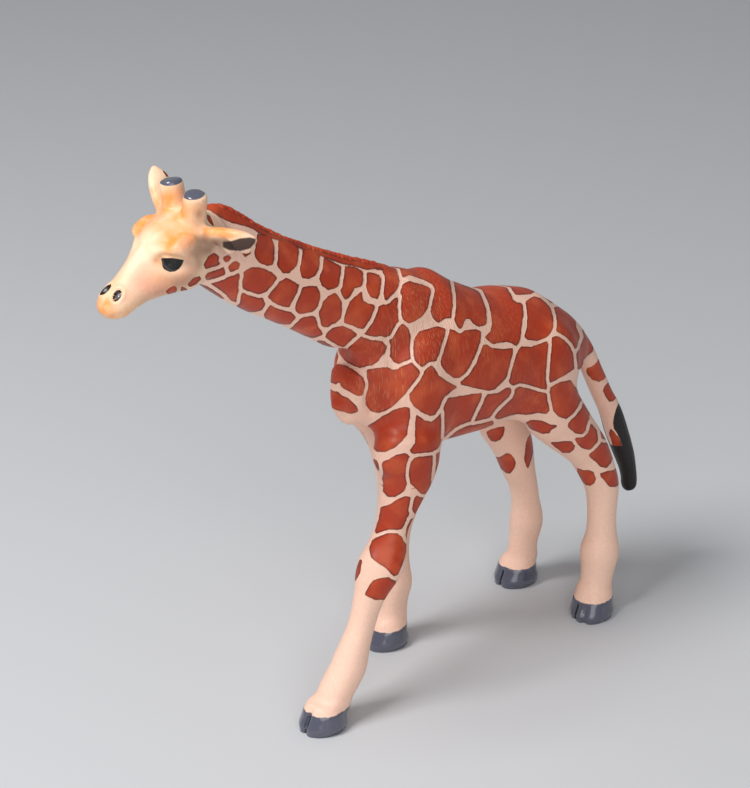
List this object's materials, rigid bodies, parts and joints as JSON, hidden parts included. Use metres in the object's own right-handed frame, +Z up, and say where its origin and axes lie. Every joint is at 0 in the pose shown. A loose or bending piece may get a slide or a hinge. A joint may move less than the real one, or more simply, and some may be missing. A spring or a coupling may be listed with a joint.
{
  "type": "toy giraffe figure",
  "caption": "Small painted toy giraffe calf in a walking pose, free-standing on its hooves, modelled as separate trunk, neck, head, ear, leg and tail pieces.",
  "frame": {"origin": "on the ground, under the middle of the figure's box", "axes": "+Z up, +Y towards the tail along the figure's length, +X towards the figure's left side"},
  "size_m": [0.0234, 0.1048, 0.0903],
  "materials": {
    "coat_paint": "satin red-brown patches over flesh-pink lines",
    "head_paint": "satin cream with orange shading, black eyes and slate horn caps",
    "leg_paint": "satin flesh pink with red-brown spots and glossy slate hooves",
    "tail_paint": "satin flesh pink with red-brown spots and a black tuft"
  },
  "bodies": {
    "root": {"torso": "coat_paint", "neck": "coat_paint", "head": "head_paint", "ear_left": "head_paint", "ear_right": "head_paint", "front_leg_left": "leg_paint", "front_leg_right": "leg_paint", "hind_leg_left": "leg_paint", "hind_leg_right": "leg_paint", "tail": "tail_paint"}
  },
  "joints": []
}
